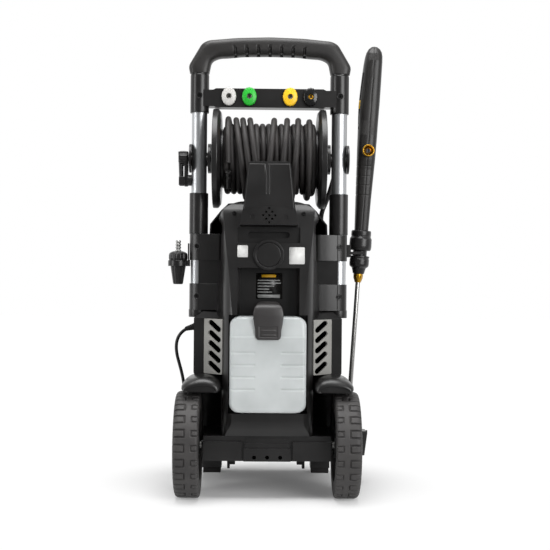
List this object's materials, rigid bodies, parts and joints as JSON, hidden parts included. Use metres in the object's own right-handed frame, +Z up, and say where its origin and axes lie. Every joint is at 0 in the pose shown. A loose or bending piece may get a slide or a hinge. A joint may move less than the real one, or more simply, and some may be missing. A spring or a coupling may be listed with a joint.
{
  "type": "pressure washer",
  "caption": "Upright electric pressure washer on two wheels: hose reel between aluminium handle tubes, detergent bottle, lance with trigger gun, and a rack of spray tips.",
  "frame": {"origin": "on the floor, in the plane of symmetry of the frame, 95 mm in front of the wheel axle's line", "axes": "+Z up, +X to the right seen from the bottle side, -Y towards the bottle side with the wheels, +Y towards the two feet and the switch"},
  "size_m": [0.4536, 0.6529, 0.949],
  "materials": {
    "housing": "moulded, fine texture",
    "trim_plastic": "moulded, satin",
    "grip": "moulded, soft satin",
    "grille": "moulded, satin grey",
    "tube": "satin anodised",
    "tyre": "moulded tread",
    "rim": "moulded",
    "hose": "matt",
    "cable": "matt",
    "bottle": "translucent, blow moulded",
    "brass": "turned",
    "steel": "drawn",
    "zinc": "cast",
    "rubber": "matt",
    "white": "moulded",
    "green": "moulded",
    "yellow": "moulded",
    "gloss_black": "moulded"
  },
  "bodies": {
    "chassis": {"base_tray": "housing", "rear_cover": "housing", "front_cover": "housing", "front_feet": "rubber", "frame_tube_left": "tube", "frame_tube_right": "tube", "handle_grip": "trim_plastic", "handle_cover": "grip", "tube_sleeves": "trim_plastic", "clamps_upper": "housing", "clamps_lower": "housing", "nozzle_rack": "trim_plastic", "reel_brackets": "trim_plastic", "holster": "housing", "access_cap": "trim_plastic", "vent_grilles": "grille", "fenders": "housing", "axle": "steel", "motor_casing": "zinc", "pump": "zinc", "electric_box": "trim_plastic", "water_inlet": "brass", "reel_feed_hose": "hose", "cable_gland": "rubber", "lance_fork": "trim_plastic", "turbo_ring": "trim_plastic", "screws": "steel", "power_cable": "cable", "power_cable_coil": "cable", "power_cable_tail": "cable", "plug_body": "rubber", "plug_pins": "steel"},
    "wheel_left": {"tyre_left": "tyre", "rim_left": "rim"},
    "wheel_right": {"tyre_right": "tyre", "rim_right": "rim"},
    "reel": {"reel_drum": "trim_plastic", "hose_winding": "hose", "hose_connector": "trim_plastic", "crank_arm": "trim_plastic"},
    "reel_crank_grip": {"crank_grip": "gloss_black"},
    "detergent_bottle": {"bottle": "bottle", "bottle_collar": "trim_plastic"},
    "bottle_lid": {"filler_lid": "trim_plastic"},
    "spray_gun": {"gun_shell_left": "grip", "gun_shell_right": "grip", "gun_valve": "brass", "lance_collar": "trim_plastic", "lance_coupling": "brass", "lance_tube": "steel", "lance_tip": "trim_plastic"},
    "gun_trigger": {"trigger": "trim_plastic"},
    "gun_trigger_lock": {"trigger_lock": "yellow"},
    "turbo": {"turbo_nozzle": "trim_plastic"},
    "spray_tip_white": {"nozzle_wide": "white"},
    "spray_tip_green": {"nozzle_green": "green"},
    "spray_tip_yellow": {"nozzle_yellow": "yellow"},
    "spray_tip_black": {"nozzle_soap": "gloss_black"},
    "switch": {"switch_knob": "yellow"},
    "rotor": {"motor_rotor": "steel"}
  },
  "joints": [
    {"name": "wheel_left_spin", "type": "hinge", "parent": "chassis", "child": "wheel_left", "pos_m": [-0.16, -0.095, 0.107], "axis": [1, 0, 0], "continuous": true},
    {"name": "wheel_right_spin", "type": "hinge", "parent": "chassis", "child": "wheel_right", "pos_m": [0.16, -0.095, 0.107], "axis": [1, 0, 0], "continuous": true},
    {"name": "reel_spin", "type": "hinge", "parent": "chassis", "child": "reel", "pos_m": [0, -0.02, 0.694], "axis": [1, 0, 0], "continuous": true},
    {"name": "crank_grip_fold", "type": "hinge", "parent": "reel", "child": "reel_crank_grip", "pos_m": [-0.182, -0.02, 0.646], "axis": [0, -1, 0], "range_deg": [0, 90]},
    {"name": "bottle_pull", "type": "slide", "parent": "chassis", "child": "detergent_bottle", "axis": [0, -1, 0], "range_m": [0, 0.08]},
    {"name": "lid_hinge", "type": "hinge", "parent": "detergent_bottle", "child": "bottle_lid", "pos_m": [0, -0.112, 0.386], "axis": [-1, 0, 0], "range_deg": [0, 95]},
    {"name": "gun_take_off", "type": "slide", "parent": "chassis", "child": "spray_gun", "axis": [1, 0, 0], "range_m": [0, 0.12]},
    {"name": "trigger_pull", "type": "hinge", "parent": "spray_gun", "child": "gun_trigger", "pos_m": [0.21433, 0.04, 0.87416], "axis": [0, -1, 0], "range_deg": [0, 8], "stiffness_Nm_per_rad": 0.4},
    {"name": "trigger_lock_flip", "type": "hinge", "parent": "gun_trigger", "child": "gun_trigger_lock", "pos_m": [0.20146, 0.04, 0.82888], "axis": [0, 1, 0], "range_deg": [0, 60]},
    {"name": "turbo_lift", "type": "slide", "parent": "chassis", "child": "turbo", "axis": [0, 0, 1], "range_m": [0, 0.09]},
    {"name": "spray_tip_white_pull", "type": "slide", "parent": "chassis", "child": "spray_tip_white", "axis": [0, -1, 0], "range_m": [0, 0.04]},
    {"name": "spray_tip_green_pull", "type": "slide", "parent": "chassis", "child": "spray_tip_green", "axis": [0, -1, 0], "range_m": [0, 0.04]},
    {"name": "spray_tip_yellow_pull", "type": "slide", "parent": "chassis", "child": "spray_tip_yellow", "axis": [0, -1, 0], "range_m": [0, 0.04]},
    {"name": "spray_tip_black_pull", "type": "slide", "parent": "chassis", "child": "spray_tip_black", "axis": [0, -1, 0], "range_m": [0, 0.04]},
    {"name": "switch_turn", "type": "hinge", "parent": "chassis", "child": "switch", "pos_m": [0, 0.16, 0.43], "axis": [0, 1, 0], "range_deg": [0, 90]},
    {"name": "motor_spin", "type": "hinge", "parent": "chassis", "child": "rotor", "pos_m": [0, 0.055, 0.34], "axis": [0, 0, 1], "continuous": true}
  ]
}
